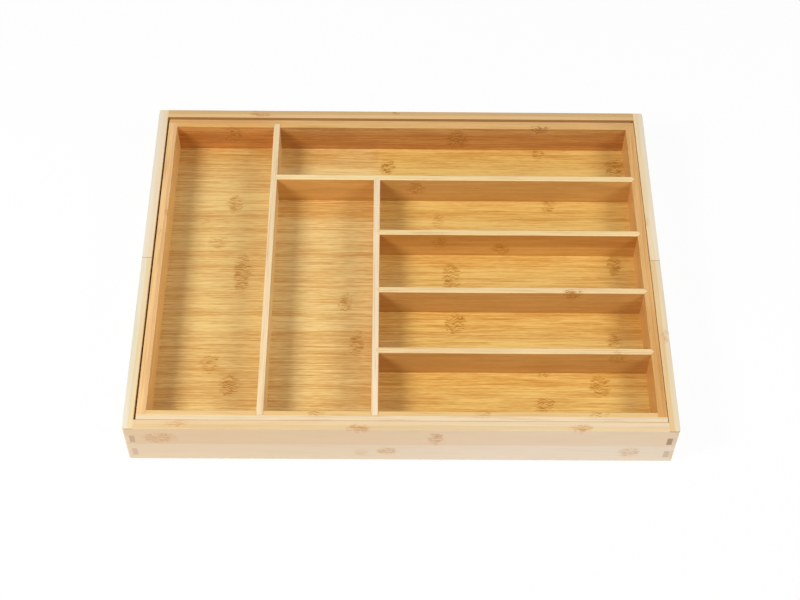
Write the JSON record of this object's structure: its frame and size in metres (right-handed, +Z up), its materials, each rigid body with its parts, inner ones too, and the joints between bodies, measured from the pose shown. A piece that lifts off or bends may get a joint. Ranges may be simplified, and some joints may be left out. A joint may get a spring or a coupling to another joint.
{
  "type": "expandable cutlery tray",
  "caption": "Bamboo cutlery tray with long and short compartments, whose front and back wings slide out to make it deeper.",
  "frame": {"origin": "on the ground, under the middle of the closed tray", "axes": "+X along the long side to the right, +Y to the back, +Z up"},
  "size_m": [0.432, 0.33, 0.046],
  "materials": {
    "inner_end_wall": "satin",
    "inner_side_wall": "satin",
    "inner_floor": "satin",
    "long_divider": "satin",
    "cross_divider": "satin",
    "wing_wall": "satin",
    "wing_side": "satin",
    "wing_floor": "satin",
    "guide_pin": "satin"
  },
  "bodies": {
    "inner_tray": {"inner_front_wall": "inner_end_wall", "inner_back_wall": "inner_end_wall", "inner_left_wall": "inner_side_wall", "inner_right_wall": "inner_side_wall", "inner_floor": "inner_floor", "left_long_divider": "long_divider", "middle_long_divider": "long_divider", "back_cross_divider": "cross_divider", "short_divider_1": "cross_divider", "short_divider_2": "cross_divider", "short_divider_3": "cross_divider", "front_left_guide_pin": "guide_pin", "front_right_guide_pin": "guide_pin", "back_left_guide_pin": "guide_pin", "back_right_guide_pin": "guide_pin"},
    "front_wing": {"front_wing_wall": "wing_wall", "front_wing_left_side": "wing_side", "front_wing_right_side": "wing_side", "front_wing_floor": "wing_floor"},
    "back_wing": {"back_wing_wall": "wing_wall", "back_wing_left_side": "wing_side", "back_wing_right_side": "wing_side", "back_wing_floor": "wing_floor"}
  },
  "joints": [
    {"name": "front_wing_slide", "type": "slide", "parent": "inner_tray", "child": "front_wing", "axis": [0, -1, 0], "range_m": [0, 0.085]},
    {"name": "back_wing_slide", "type": "slide", "parent": "inner_tray", "child": "back_wing", "axis": [0, 1, 0], "range_m": [0, 0.085]}
  ]
}
